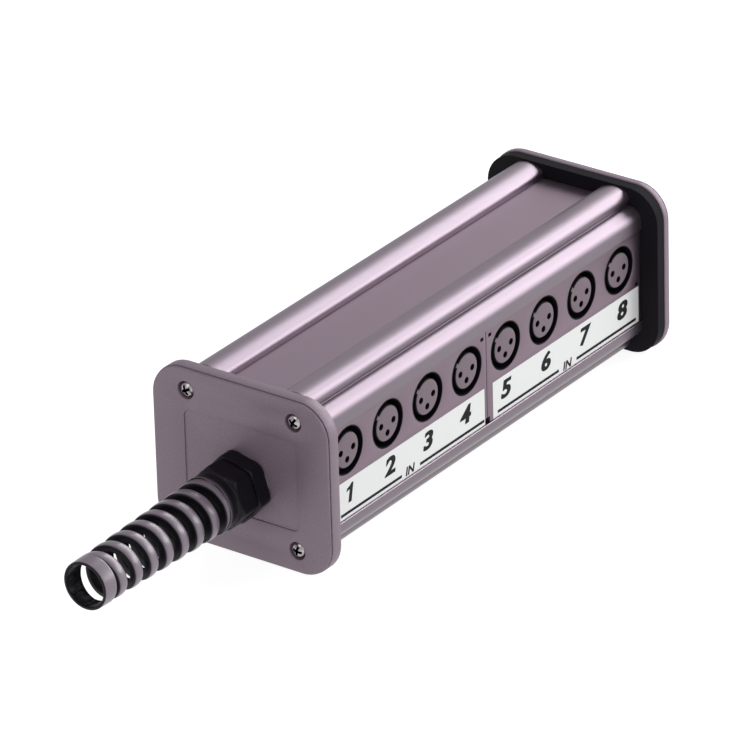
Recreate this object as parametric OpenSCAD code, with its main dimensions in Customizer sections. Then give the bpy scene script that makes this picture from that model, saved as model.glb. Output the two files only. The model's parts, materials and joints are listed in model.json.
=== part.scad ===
// Stage box snake: an eight-socket microphone stage box with a spiral cable gland on one end plate.
// X runs along the length from the gland end, the sockets face -Y, and the end plates stand on z = 0.

/* [Body] */
// half width of the body across the side lobes
body_half_w = 33.2; // [33:0.1:36]
// half height of the body across the top lobes
body_half_h = 35.2; // [34.8:0.1:38]
// length of a screw hole in a post
post_hole_depth = 13; // [12:0.5:18]
// radius of the wide crown of a top lobe
crown_r = 13.5; // [13.2:0.1:14]
// radius of a top lobe's outer shoulder
shoulder_r = 3.95; // [3.6:0.05:4.2]
// radius of a top lobe's inner shoulder
inner_shoulder_r = 1.4; // [0.8:0.1:2]
// radius of a side lobe
side_lobe_r = 5.9; // [5.6:0.1:6.1]
// radius of the hollow between the two lobes
valley_r = 2.6; // [2:0.1:4]
// lean of the side lobe's lower face in degrees
side_lean = 4; // [2:0.5:5]
// distance from a side lobe's lower edge to the box's top
side_h = 16; // [15.6:0.1:16.4]
// drop of the bottom posts' edges, which makes the front taller below the middle
low_drop = 1.6; // [1.2:0.1:1.8]
// width of the bevel inside a post's corner
core_bevel = 1.6; // [1:0.1:2]
// distance from a top lobe's inner edge to the box's side
crown_w = 19.7; // [19.2:0.1:20.2]
// distance from the middle of the crown's curve to the box's side
crown_in = 12.2; // [11.8:0.1:12.4]
// distance from the middle of the side lobe's curve to the box's top
side_in = 10.6; // [10.2:0.1:11]
// step between the side lobe's curve and the widest line
side_step = 0.4; // [0.2:0.05:0.6]
// depth of the top panel below the crowns
top_drop = 5.2; // [5:0.1:5.6]
// depth of the front face behind the side lobes
front_drop = 0.8; // [0.7:0.05:1]
// depth of the grooves that hold the panels
groove_depth = 2; // [1.6:0.1:2.2]
// wall behind a panel groove
groove_wall = 1.6; // [1.4:0.1:1.8]
// depth of the solid corner round a screw hole
corner_core = 12.2; // [11.8:0.1:12.6]
// wall of the hollow chambers in a post
chamber_wall = 1.4; // [1.2:0.1:1.6]

/* [Panels] */
// thickness of the top and bottom panels
panel_t = 2.2; // [1.8:0.1:2.3]
// thickness of a socket module plate and of the back panel
module_t = 2; // [1.6:0.1:2.2]
// gap between the two module plates
module_seam = 0.3; // [0.2:0.1:1]
// gap between a module plate or panel and a gasket
panel_end_gap = 0.3; // [0.2:0.1:1]
// width of the small notches in a module plate
notch_w = 2; // [1.2:0.2:2.4]
// height of the small notches in a module plate
notch_h = 1.5; // [1:0.1:1.8]
// distance of a notch from its module plate's end
notch_in = 1.5; // [1.2:0.1:2]
// distance from a top notch's lower face to the side lobe's edge
notch_down = 3.4; // [3:0.1:4.2]
// width of the corner notch in a module plate beside the seam
corner_notch_w = 1.6; // [1:0.1:2.4]
// height of the corner notch above the lower edge
corner_notch_h = 2.6; // [1.6:0.1:3.4]
// distance from a low notch's lower face to the strip
notch_up = 0.6; // [0.4:0.1:1.2]

/* [Number strips] */
// distance from a number strip's upper edge to the socket row
strip_down = 12.4; // [12:0.1:13]
// distance from a number strip's lower edge to the side lobe's edge
strip_low = 0.3; // [0.2:0.1:1]
// distance from a module plate's far end to its strip
strip_out = 1.4; // [1.1:0.1:3]
// thickness of a number strip
strip_t = 0.6; // [0.4:0.1:0.8]
// distance from a module plate's near end to its strip
strip_in = 3.8; // [2.5:0.1:4.5]

/* [End plates] */
// thickness of the near end plate
plate_t = 6.6; // [6:0.1:7.4]
// thickness of the far end plate
far_plate_t = 3.9; // [3.6:0.1:5]
// overhang of an end plate beside the body
plate_over_w = 7.85; // [7:0.05:9]
// overhang of an end plate above and below the body
plate_over_h = 1.1; // [0.8:0.1:2]
// corner radius of an end plate
plate_corner_r = 14; // [12:0.5:15]
// thickness of the face in front of the edge groove
plate_face_t = 0.6; // [0.5:0.1:0.9]
// setback of the face's edge behind the rim
plate_face_in = 0.25; // [0.1:0.05:0.4]
// width of the edge groove
edge_groove_w = 0.6; // [0.4:0.1:0.8]
// depth of the edge groove
edge_groove_d = 0.8; // [0.5:0.1:1.2]
// distance from the near plate's side edge to its shallow pocket
pocket_in_w = 14.75; // [14:0.05:16]
// distance from the near plate's top edge to its shallow pocket
pocket_in_h = 17.3; // [16.6:0.1:18]
// depth of the shallow pocket
pocket_d = 0.5; // [0.3:0.1:0.8]
// corner radius of the shallow pocket
pocket_r = 3; // [2:0.2:4]
// thickness of the near gasket
gasket_t = 1.8; // [1.4:0.1:2.4]
// thickness of the far gasket, a black sheet as large as the plate
far_gasket_t = 4.5; // [3.6:0.1:5]
// setback of the near gasket's edge behind the body
gasket_in = 0.4; // [0.2:0.1:0.8]
// setback of the far gasket's edge behind the plate
sheet_in = 0.4; // [0.2:0.1:0.8]
// width of a gasket's frame
gasket_frame = 9; // [8.5:0.1:10]

/* [Plate screws] */
// distance from a plate screw to the body's side and top
screw_in = 8.2; // [7.9:0.1:8.6]
// radius of a plate screw's head
screw_head_r = 3.5; // [3:0.1:3.7]
// height of a plate screw's head
screw_head_h = 2.3; // [1.8:0.1:2.6]
// radius of a plate screw's shank
screw_r = 1.75; // [1.5:0.05:1.9]
// length of a plate screw's shank that bites in the post
screw_bite = 10; // [7:0.5:11]
// radius of the recess round a screw head
head_recess_r = 4.05; // [3.8:0.05:4.4]
// depth of the recess round a screw head
head_recess_d = 1.8; // [1.4:0.1:2.2]
// length of the cross in a screw head
cross_l = 4; // [3:0.1:4.6]
// width of the cross in a screw head
cross_w = 0.9; // [0.6:0.1:1.1]
// depth of the cross in a screw head
cross_d = 1.2; // [0.8:0.1:1.4]
// radial gap between a shank and a clearance hole
clear_gap = 0.3; // [0.2:0.05:0.5]

/* [Sockets] */
// distance between sockets
socket_pitch = 26; // [25:0.1:29]
// distance from the last socket to the post's end
socket_end = 15.25; // [14:0.25:24]
// distance from the socket row to the side lobe's edge
socket_down = 11.7; // [11.4:0.1:12.4]
// radius of the ring that takes the plug's shell
ring_r = 9.55; // [9.5:0.05:9.65]
// thickness of the shell's nose in the module plate
nose_t = 0.35; // [0.3:0.05:0.5]
// outer radius of a socket shell
shell_r = 11; // [10.7:0.1:11.4]
// depth of a socket from its face to its base
socket_depth = 16; // [14:0.5:18]
// thickness of a socket's base
socket_base = 2.5; // [2:0.1:3.5]
// radius of a socket insert
insert_r = 7.35; // [7.1:0.05:7.5]
// setback of an insert behind the module plate's face
insert_in = 0.2; // [0.1:0.1:0.6]
// radius of the pin holes
pin_r = 1.2; // [1.15:0.05:1.3]
// radius of the circle of pin holes
pin_circle_r = 3.96; // [3.9:0.02:4]
// depth of the narrow mouth of a pin hole
pin_mouth = 2; // [1.5:0.1:3]
// wall of a contact sleeve
contact_wall = 0.35; // [0.3:0.05:0.45]
// radius of a contact's tail
tail_r = 0.5; // [0.4:0.05:0.6]
// length of a contact's tail
tail_length = 7.5; // [6.5:0.1:9]
// width of the key rib on an insert
key_w = 2.2; // [1.6:0.1:2.6]
// height of the key rib on an insert
key_h = 1; // [0.6:0.1:1.4]
// direction of the key rib in degrees from the horizontal
key_angle = 142; // [120:1:150]

/* [Boards] */
// thickness of a board
board_t = 1.6; // [1.2:0.1:2]
// height of a board
board_h = 40; // [36:0.5:42]
// distance from a board's end to its module plate's end
board_in = 3.9; // [2:0.1:6]
// radius of a board pillar
pillar_r = 2.7; // [2.4:0.1:2.8]
// radius of a board screw's shank
board_screw_r = 1.2; // [1:0.05:1.4]
// radius of a board screw's head
board_head_r = 2.3; // [2:0.1:2.6]
// height of a board screw's head
board_head_h = 1.6; // [1.2:0.1:2]
// height of the upper pillars above the socket row
pillar_up = 7.2; // [7:0.1:8]
// distance from the lower pillars to the side lobe's edge
pillar_low = 3.2; // [3:0.1:5]
// depth of a pillar's screw hole
pillar_hole = 7; // [6:0.5:10]
// length of a board screw's shank in its pillar
board_bite = 5; // [4:0.5:5.5]
// length of the cross in a board screw's head
board_cross_l = 2.8; // [2:0.1:3.4]
// width of the cross in a board screw's head
board_cross_w = 0.6; // [0.4:0.05:0.8]
// depth of the cross in a board screw's head
board_cross_d = 0.7; // [0.4:0.05:0.9]

/* [Gland] */
// depth of the gland's axis below the middle
gland_drop = 5.3; // [4.8:0.1:5.8]
// width across flats of the gland body's hexagon
hex_af = 24.7; // [24.4:0.1:25.4]
// thickness of the gland body's hexagon
hex_t = 7; // [6:0.1:8]
// turn of the hexagons in degrees
hex_turn = 12.6; // [0:0.2:30]
// radius of the gland's thread
thread_r = 10; // [9.9:0.05:10.1]
// running gap between the thread and the nuts
thread_gap = 0.05; // [0.02:0.01:0.1]
// length of the thread that carries the spiral nut
spigot_l = 9; // [8.5:0.1:9.2]
// radius of the hollow in the spigot
cup_r = 8.8; // [8.75:0.01:8.85]
// radius of the way through the gland body
body_bore_r = 8; // [7.6:0.1:8.2]
// thickness of the clamping claw
claw_t = 1; // [0.9:0.02:1.05]
// number of slots in the clamping claw
claw_slots = 8; // [6:1:10]
// width of a slot in the clamping claw
claw_slot_w = 1.2; // [0.8:0.1:1.6]
// thickness of the cable seal
seal_t = 1.4; // [1.2:0.05:1.5]
// gap between the pieces inside the gland
inner_gap = 0.1; // [0.06:0.01:0.12]
// thickness of the sealing ring under the hexagon
ring_seal_t = 1; // [0.8:0.1:1.4]
// thickness of the thrust ring
thrust_t = 1.2; // [1:0.05:1.3]
// thickness of the lock nut
lock_t = 5; // [4:0.1:5.2]

/* [Spiral nut] */
// width across flats of the dome hexagon
dome_af = 23.4; // [23.2:0.1:24.2]
// length of the dome hexagon
dome_l = 9.6; // [9.2:0.1:10.4]
// length of the round collar
collar_l = 6.4; // [6:0.1:8]
// setback of the round neck behind the dome's flats
neck_in = 0.6; // [0.4:0.1:0.8]
// width of the collar's step ring
step_w = 1.1; // [0.8:0.1:1.6]
// radius of the collar's step ring
collar_r = 12; // [11.9:0.05:12.3]
// radius of the cable way through the nut's collar
way_r = 7; // [6.8:0.05:7.4]
// radius of the wide mouth in the tip ring
mouth_r = 8.5; // [8.3:0.05:8.6]
// outer radius of the spiral at the collar
spiral_r0 = 11.7; // [11.4:0.05:11.8]
// outer radius of the spiral at the tip
spiral_r1 = 9.9; // [9.7:0.05:10]
// length of the spiral between collar and tip ring
spiral_l = 67; // [62:0.1:70]
// distance between turns of the spiral
spiral_pitch = 9.1; // [8.8:0.05:9.4]
// width of the spiral's rib
rib_w = 5.2; // [4.6:0.1:5.6]
// bevel of the rib's outer edges
rib_round = 0.4; // [0.3:0.05:0.6]
// turn of the spiral's start in degrees
spiral_phase = 198; // [0:1:359]
// length of the tip ring
tip_l = 6.6; // [6:0.1:8]
// outer radius of the tip ring at its end
tip_r = 9.75; // [9.6:0.05:9.8]

/* [Hidden] */
$fn = 64;
eps = 0.01;
slide_gap = 0.15;
piece_gap = 0.3;
fit_gap = 0.05;

// places along the box
post_length = 7 * socket_pitch + 2 * socket_end;
box_l = post_length + plate_t + gasket_t + far_gasket_t + far_plate_t;
nut_l = dome_l + collar_l + spiral_l + tip_l;
gland_l = hex_t + nut_l;
x_near = (gland_l - box_l) / 2;
x_far = x_near + box_l;
x_post = x_near + plate_t + gasket_t;
x_post_end = x_post + post_length;
x_mid = (x_post + x_post_end) / 2;
plate_half_w = body_half_w + plate_over_w;
plate_half_h = body_half_h + plate_over_h;
crown_inner = body_half_w - crown_w;
side_edge = body_half_h - side_h;
low_edge = side_edge + low_drop;
socket_z = side_edge - socket_down;
screw_y = body_half_w - screw_in;
screw_z = body_half_h - screw_in;
pocket_half_w = plate_half_w - pocket_in_w;
pocket_half_h = plate_half_h - pocket_in_h;
zc = plate_half_h;
z_gland = zc - gland_drop;

// faces of the panels and modules
top_face = body_half_h - top_drop;
front_face = body_half_w - front_drop;
module_l = (post_length - module_seam) / 2 - panel_end_gap;
module_end = [x_mid - module_seam / 2 - module_l, x_mid + module_seam / 2];
strip_length = module_l - strip_in - strip_out;
strip_top = socket_z - strip_down;
strip_height = strip_top + low_edge - strip_low;
notch_top = side_edge - notch_down;
board_l = module_l - 2 * board_in;
shell_back = front_face - module_t - socket_depth;
contact_r = pin_r + contact_wall;
insert_back = shell_back + socket_base;
board_face = shell_back - piece_gap;
gland_back = -(plate_t + lock_t + 2);
strip_pocket_gap = 0.1;

function arc(cx, cy, r, a0, a1, n) =
    [for (i = [0 : n]) let (a = a0 + (a1 - a0) * i / n) [cx + r * cos(a), cy + r * sin(a)]];

// section of a post, seen along X with the outer corner of the box up and to the right
crown_u = body_half_w - crown_in;
crown_v = body_half_h - crown_r;
shoulder_tilt = 13.5;
sh_u = crown_u + (crown_r - shoulder_r) * sin(shoulder_tilt);
sh_v = crown_v + (crown_r - shoulder_r) * cos(shoulder_tilt);
side_u = body_half_w - side_step - side_lobe_r;
side_v = body_half_h - side_in;
in_u = crown_inner + inner_shoulder_r;
in_v = crown_v + sqrt(pow(crown_r - inner_shoulder_r, 2) - pow(in_u - crown_u, 2));
in_a = atan2(in_v - crown_v, in_u - crown_u);
lobe_d = norm([side_u - sh_u, side_v - sh_v]);
lobe_ex = (side_u - sh_u) / lobe_d;
lobe_ey = (side_v - sh_v) / lobe_d;
val_along = (pow(shoulder_r + valley_r, 2) - pow(side_lobe_r + valley_r, 2) + lobe_d * lobe_d) / (2 * lobe_d);
val_off = sqrt(pow(shoulder_r + valley_r, 2) - val_along * val_along);
val_u = sh_u + val_along * lobe_ex - val_off * lobe_ey;
val_v = sh_v + val_along * lobe_ey + val_off * lobe_ex;
val_a0 = atan2(val_v - sh_v, val_u - sh_u);
val_a1 = atan2(val_v - side_v, val_u - side_u);
function side_low_u(edge) =
    side_u + side_lobe_r * cos(side_lean) + (side_v + side_lobe_r * sin(side_lean) - edge) * tan(side_lean);
groove_end_u = crown_inner + groove_depth;
groove_end_v = side_edge + groove_depth;
groove_end_low = low_edge + groove_depth;
panel_back = top_face - panel_t;
module_back = front_face - module_t;
shelf_v = panel_back - slide_gap - groove_wall;
shelf_u = module_back - slide_gap - groove_wall;

core_u = screw_y - (screw_y - crown_inner) * 0.43;
edge_r = 0.5;

function outer_line(edge) = concat(
    arc(in_u, in_v, inner_shoulder_r, 180, in_a, 6),
    arc(crown_u, crown_v, crown_r, in_a, 90 - shoulder_tilt, 10),
    arc(sh_u, sh_v, shoulder_r, 90 - shoulder_tilt, val_a0, 6),
    arc(val_u, val_v, valley_r, val_a0 + 180, val_a1 + 180, 5),
    arc(side_u, side_v, side_lobe_r, val_a1, side_lean, 9),
    [[side_low_u(edge), edge + edge_r], [side_low_u(edge) - 0.7 * edge_r, edge]]
);
function post_line(edge) = concat(
    outer_line(edge),
    [
        [front_face + slide_gap, edge],
        [front_face + slide_gap, edge + groove_depth],
        [module_back - slide_gap, edge + groove_depth],
        [module_back - slide_gap, edge],
        [shelf_u, edge],
        [shelf_u, body_half_h - corner_core - core_bevel],
        [shelf_u - core_bevel, body_half_h - corner_core],
        [core_u + core_bevel, body_half_h - corner_core],
        [core_u, shelf_v],
        [crown_inner, shelf_v],
        [crown_inner, panel_back - slide_gap],
        [groove_end_u, panel_back - slide_gap],
        [groove_end_u, top_face + slide_gap],
        [crown_inner, top_face + slide_gap]
    ]
);
// hollow chambers, walled in from the groove, the screw hole and the lobes
ch_left = groove_end_u + chamber_wall;
ch_right = screw_y - screw_r - fit_gap - chamber_wall;
ch_top = crown_v + crown_r - chamber_wall - 0.5;
top_chamber = [
    [ch_left, shelf_v + chamber_wall],
    [ch_right, shelf_v + chamber_wall],
    [ch_right, ch_top],
    [(ch_left + ch_right) / 2, ch_top],
    [ch_left, ch_top - 1.1]
];
side_wall_u = side_u + side_lobe_r - 1.2 * chamber_wall;
function side_chamber(edge) = [
    [shelf_u + 0.2, edge + groove_depth + chamber_wall],
    [side_wall_u, edge + groove_depth + chamber_wall],
    [side_wall_u, side_v + 1],
    [side_wall_u - 0.8, side_v + chamber_wall + 1],
    [shelf_u + 0.2, side_v + chamber_wall + 1]
];

// outline of the body, corner by corner, for the gaskets
function inset(p, d) = [p[0] * (1 - d / body_half_w), p[1] * (1 - d / body_half_h)];
function flip(line, su, sv) =
    let (n = len(line))
    [for (i = [0 : n - 1]) let (p = line[su * sv > 0 ? i : n - 1 - i]) [su * p[0], sv * p[1]]];
function corner_line(edge) = [for (p = outer_line(edge)) inset(p, gasket_in)];
body_line = concat(
    flip(corner_line(side_edge), 1, 1),
    flip(corner_line(low_edge), 1, -1),
    flip(corner_line(low_edge), -1, -1),
    flip(corner_line(side_edge), -1, 1)
);

module prism(line, x, l) {
    translate([x, 0, zc]) rotate([90, 0, 90]) linear_extrude(height = l) polygon(line);
}

module x_rod(x, y, z, r, l) {
    translate([x, y, z]) rotate([0, 90, 0]) cylinder(r = r, h = l);
}

module x_box(x, l, y0, y1, z0, z1) {
    translate([x, y0, z0]) cube([l, y1 - y0, z1 - z0]);
}

// rounded slab across X
module slab(x, l, hw, hh, r) {
    x_box(x, l, r - hw, hw - r, zc - hh, zc + hh);
    x_box(x, l, -hw, hw, zc - hh + r, zc + hh - r);
    for (sy = [-1, 1])
        for (sz = [-1, 1])
            x_rod(x, sy * (hw - r), zc + sz * (hh - r), r, l);
}

module corner_post(su, sv) {
    edge = sv > 0 ? side_edge : low_edge;
    color([0.72, 0.68, 0.73])
        difference() {
            prism([for (p = post_line(edge)) [su * p[0], sv * p[1]]], x_post, post_length);
            prism([for (p = top_chamber) [su * p[0], sv * p[1]]], x_post - 1, post_length + 2);
            prism([for (p = side_chamber(edge)) [su * p[0], sv * p[1]]], x_post - 1, post_length + 2);
            for (x = [x_post - 1, x_post_end - post_hole_depth])
                x_rod(x, su * screw_y, zc + sv * screw_z, screw_r + fit_gap, post_hole_depth + 1);
        }
}

module front_top_post() { corner_post(-1, 1); }
module front_bottom_post() { corner_post(-1, -1); }
module back_top_post() { corner_post(1, 1); }
module back_bottom_post() { corner_post(1, -1); }

panel_w = 2 * (groove_end_u - piece_gap);
panel_l = post_length - 2 * panel_end_gap;
panel_z0 = zc + piece_gap - groove_end_low;
panel_z1 = zc - piece_gap + groove_end_v;

module top_panel() {
    color([0.60, 0.56, 0.61])
        x_box(x_post + panel_end_gap, panel_l, -panel_w / 2, panel_w / 2, zc + panel_back, zc + top_face);
}

module bottom_panel() {
    color([0.60, 0.56, 0.61])
        x_box(x_post + panel_end_gap, panel_l, -panel_w / 2, panel_w / 2, zc - top_face, zc - panel_back);
}

module back_panel() {
    color([0.60, 0.56, 0.61])
        x_box(x_post + panel_end_gap, panel_l, module_back, front_face, panel_z0, panel_z1);
}

// end plate with its outer face at x0; dir is 1 at the near end and -1 at the far end
module end_plate(dir, x0, t) {
    rim_t = t - plate_face_t - edge_groove_w;
    difference() {
        union() {
            slab(dir > 0 ? x0 : x0 - plate_face_t, plate_face_t, plate_half_w - plate_face_in,
                plate_half_h - plate_face_in, plate_corner_r - plate_face_in);
            slab(dir > 0 ? x0 + eps : x0 - t + eps, t - 2 * eps, plate_half_w - edge_groove_d,
                plate_half_h - edge_groove_d, plate_corner_r - edge_groove_d);
            slab(dir > 0 ? x0 + t - rim_t : x0 - t, rim_t, plate_half_w, plate_half_h, plate_corner_r);
        }
        for (sy = [-1, 1])
            for (sz = [-1, 1]) {
                x_rod(dir > 0 ? x0 - 1 : x0 - t - 1, sy * screw_y, zc + sz * screw_z,
                    screw_r + clear_gap, t + 2);
                x_rod(dir > 0 ? x0 - 1 : x0 - head_recess_d, sy * screw_y, zc + sz * screw_z,
                    head_recess_r, head_recess_d + 1);
            }
    }
}

module near_end_plate() {
    color([0.50, 0.45, 0.51])
        difference() {
            end_plate(1, x_near, plate_t);
            x_rod(x_near - 1, 0, z_gland, thread_r + piece_gap, plate_t + 2);
            slab(x_near - 1, pocket_d + 1, pocket_half_w, pocket_half_h, pocket_r);
        }
}

module far_end_plate() {
    color([0.50, 0.45, 0.51]) end_plate(-1, x_far, far_plate_t);
}

// windows for the hollow of the body and holes for the screws, cut through a gasket
module gasket_holes(x, t) {
    x_box(x - 1, t + 2, gasket_frame - body_half_w, body_half_w - gasket_frame, zc - side_edge, zc + side_edge);
    x_box(x - 1, t + 2, -crown_inner, crown_inner,
        zc + gasket_frame - body_half_h, zc + body_half_h - gasket_frame);
    for (sy = [-1, 1])
        for (sz = [-1, 1])
            x_rod(x - 1, sy * screw_y, zc + sz * screw_z, screw_r + clear_gap, t + 2);
}

module near_gasket() {
    color([0.06, 0.06, 0.07])
        difference() {
            prism(body_line, x_near + plate_t, gasket_t);
            gasket_holes(x_near + plate_t, gasket_t);
        }
}

module far_gasket() {
    color([0.06, 0.06, 0.07])
        difference() {
            slab(x_post_end, far_gasket_t, plate_half_w - sheet_in, plate_half_h - sheet_in,
                plate_corner_r - sheet_in);
            gasket_holes(x_post_end, far_gasket_t);
        }
}

// pan head screw along X with a cross, its head towards -X at the near end
module pan_screw(dir, x, y, z) {
    head_x = screw_head_h;
    crown = 0.8;
    crown_sphere = (screw_head_r * screw_head_r + crown * crown) / (2 * crown);
    shank = (dir > 0 ? plate_t + gasket_t : far_plate_t + far_gasket_t) - head_recess_d + screw_bite;
    translate([x, y, z]) rotate([0, dir > 0 ? 90 : -90, 0])
        difference() {
            union() {
                intersection() {
                    translate([0, 0, -head_x]) cylinder(r = screw_head_r, h = head_x);
                    translate([0, 0, crown_sphere - head_x]) sphere(r = crown_sphere);
                }
                cylinder(r = screw_r, h = shank);
            }
            for (a = [0, 90])
                rotate([0, 0, a])
                    translate([-cross_l / 2, -cross_w / 2, -head_x - 1]) cube([cross_l, cross_w, cross_d + 1]);
        }
}

module plate_screws(dir) {
    seat = dir > 0 ? x_near + head_recess_d : x_far - head_recess_d;
    color([0.80, 0.79, 0.80])
        for (sy = [-1, 1])
            for (sz = [-1, 1])
                pan_screw(dir, seat, sy * screw_y, zc + sz * screw_z);
}

module near_plate_screws() { plate_screws(1); }
module far_plate_screws() { plate_screws(-1); }

function socket_x(i) = x_mid + (i - 4.5) * socket_pitch;

// rod along +Y from y
module y_rod(x, y, z, r, l) {
    translate([x, y, z]) rotate([-90, 0, 0]) cylinder(r = r, h = l);
}

module notch(x, z) {
    translate([x - notch_w / 2, -front_face - 1, zc + z]) cube([notch_w, module_t + 2, notch_h]);
}

board_x = [for (m = [0, 1]) module_end[m] + (module_l - board_l) / 2];
board_z0 = zc - board_h / 2;
function pillar_xs(m) = [socket_x(4 * m + 1.5), socket_x(4 * m + 3.5)];
pillar_zs = [zc - side_edge + pillar_low, zc + socket_z + pillar_up];
pillar_l = -board_face + module_back;

module module_plate(m) {
    x0 = module_end[m];
    seam_end = m == 0 ? x0 + module_l - notch_in - notch_w / 2 : x0 + notch_in + notch_w / 2;
    outer_end = m == 0 ? x0 + notch_in + notch_w / 2 : x0 + module_l - notch_in - notch_w / 2;
    strip_x = x0 + strip_in - strip_pocket_gap;
    color([0.58, 0.53, 0.59])
        difference() {
            union() {
                x_box(x0, module_l, -front_face, -module_back, panel_z0, panel_z1);
                for (x = pillar_xs(m))
                    for (z = pillar_zs)
                        y_rod(x, -module_back - eps, z, pillar_r, pillar_l + eps);
            }
            for (i = [1 : 4])
                y_rod(socket_x(4 * m + i), -front_face - 1, zc + socket_z,
                    ring_r + nose_t + fit_gap, module_t + 2);
            x_box(strip_x, strip_length + 2 * strip_pocket_gap, -front_face - 1, strip_t - front_face,
                zc + strip_top - strip_height - strip_pocket_gap, zc + strip_top + strip_pocket_gap);
            translate([m == 0 ? x0 + module_l - corner_notch_w : x0 - 1, -front_face - 1, panel_z0 - 1])
                cube([corner_notch_w + 1, module_t + 2, groove_depth - piece_gap + corner_notch_h + 1]);
            notch(seam_end, notch_top);
            notch(outer_end, strip_top + notch_up);
            for (x = pillar_xs(m))
                for (z = pillar_zs)
                    y_rod(x, -board_face - pillar_hole, z, board_screw_r + fit_gap, pillar_hole + 1);
        }
}

module near_module_plate() { module_plate(0); }
module far_module_plate() { module_plate(1); }

module number_strip(m) {
    color([0.90, 0.91, 0.90])
        x_box(module_end[m] + strip_in, strip_length, -front_face, strip_t - front_face,
            zc + strip_top - strip_height, zc + strip_top);
}

module near_number_strip() { number_strip(0); }
module far_number_strip() { number_strip(1); }

function pin_at(i, k) = [
    socket_x(i) + pin_circle_r * cos(180 + 90 * k),
    zc + socket_z + pin_circle_r * sin(180 + 90 * k)
];

module socket_shell(i) {
    x = socket_x(i);
    z = zc + socket_z;
    color([0.05, 0.05, 0.06])
        difference() {
            union() {
                y_rod(x, -front_face + eps, z, ring_r + nose_t, module_t + 1);
                y_rod(x, -module_back, z, shell_r, module_back - shell_back);
            }
            y_rod(x, -front_face - 1, z, ring_r, front_face - insert_back + 1);
            for (k = [0 : 2])
                y_rod(pin_at(i, k)[0], -insert_back - 1, pin_at(i, k)[1], tail_r + inner_gap, socket_base + 2);
        }
}

module socket_shell_1() { socket_shell(1); }
module socket_shell_2() { socket_shell(2); }
module socket_shell_3() { socket_shell(3); }
module socket_shell_4() { socket_shell(4); }
module socket_shell_5() { socket_shell(5); }
module socket_shell_6() { socket_shell(6); }
module socket_shell_7() { socket_shell(7); }
module socket_shell_8() { socket_shell(8); }

insert_face = front_face - insert_in;
sleeve_room = 1.2;

module socket_insert(i) {
    x = socket_x(i);
    z = zc + socket_z;
    l = insert_face - insert_back;
    color([0.62, 0.58, 0.63])
        difference() {
            union() {
                y_rod(x, -insert_face, z, insert_r, l);
                translate([x, -insert_face, z]) rotate([0, -key_angle, 0])
                    translate([insert_r - 1, 0, -key_w / 2]) cube([key_h + 1, l, key_w]);
            }
            for (k = [0 : 2]) {
                y_rod(pin_at(i, k)[0], -insert_face - 1, pin_at(i, k)[1], pin_r, l);
                y_rod(pin_at(i, k)[0], -insert_face + pin_mouth, pin_at(i, k)[1],
                    contact_r + inner_gap, l - pin_mouth - sleeve_room);
                y_rod(pin_at(i, k)[0], -insert_face + 1, pin_at(i, k)[1], tail_r + inner_gap, l);
            }
        }
}

module socket_insert_1() { socket_insert(1); }
module socket_insert_2() { socket_insert(2); }
module socket_insert_3() { socket_insert(3); }
module socket_insert_4() { socket_insert(4); }
module socket_insert_5() { socket_insert(5); }
module socket_insert_6() { socket_insert(6); }
module socket_insert_7() { socket_insert(7); }
module socket_insert_8() { socket_insert(8); }

module contacts(i) {
    y0 = -insert_face + pin_mouth + inner_gap;
    y1 = -insert_back - sleeve_room - inner_gap;
    floor_t = 1;
    color([0.85, 0.84, 0.80])
        for (k = [0 : 2])
            difference() {
                union() {
                    y_rod(pin_at(i, k)[0], y0, pin_at(i, k)[1], contact_r, y1 - y0);
                    y_rod(pin_at(i, k)[0], y1 - eps, pin_at(i, k)[1], tail_r, tail_length);
                }
                y_rod(pin_at(i, k)[0], y0 - 1, pin_at(i, k)[1], pin_r, y1 - y0 - floor_t + 1);
            }
}

module contacts_1() { contacts(1); }
module contacts_2() { contacts(2); }
module contacts_3() { contacts(3); }
module contacts_4() { contacts(4); }
module contacts_5() { contacts(5); }
module contacts_6() { contacts(6); }
module contacts_7() { contacts(7); }
module contacts_8() { contacts(8); }

module board(m) {
    color([0.10, 0.34, 0.18])
        difference() {
            x_box(board_x[m], board_l, -board_face, board_t - board_face, board_z0, board_z0 + board_h);
            for (i = [4 * m + 1 : 4 * m + 4])
                for (k = [0 : 2])
                    y_rod(pin_at(i, k)[0], -board_face - 1, pin_at(i, k)[1], tail_r + inner_gap, board_t + 2);
            for (x = pillar_xs(m))
                for (z = pillar_zs)
                    y_rod(x, -board_face - 1, z, board_screw_r + clear_gap, board_t + 2);
        }
}

module near_board() { board(0); }
module far_board() { board(1); }

module board_screws(m) {
    color([0.80, 0.79, 0.80])
        for (x = pillar_xs(m))
            for (z = pillar_zs)
                difference() {
                    union() {
                        y_rod(x, board_t - board_face, z, board_head_r, board_head_h);
                        y_rod(x, -board_face - board_bite, z, board_screw_r, board_bite + board_t + eps);
                    }
                    for (a = [0, 90])
                        translate([x, board_t - board_face + board_head_h - board_cross_d, z])
                            rotate([0, a, 0])
                                translate([-board_cross_l / 2, 0, -board_cross_w / 2])
                                    cube([board_cross_l, board_cross_d + 1, board_cross_w]);
                }
}

module near_board_screws() { board_screws(0); }
module far_board_screws() { board_screws(1); }

// gland pieces are drawn along +Z from the near plate's face outwards, then turned to point along -X
module on_gland() {
    translate([x_near, 0, z_gland]) rotate([0, -90, 0]) children();
}

// hexagon with slightly rounded corners, a corner turned from the box's back towards its top
module hex_prism(af, h) {
    rotate([0, 0, 90 - hex_turn])
        intersection() {
            cylinder(r = af / sqrt(3), h = h, $fn = 6);
            cylinder(r = af / sqrt(3) - 0.35, h = h);
        }
}

module tube(z0, z1, r_out, r_in) {
    difference() {
        translate([0, 0, z0]) cylinder(r = r_out, h = z1 - z0);
        translate([0, 0, z0 - 1]) cylinder(r = r_in, h = z1 - z0 + 2);
    }
}

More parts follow.
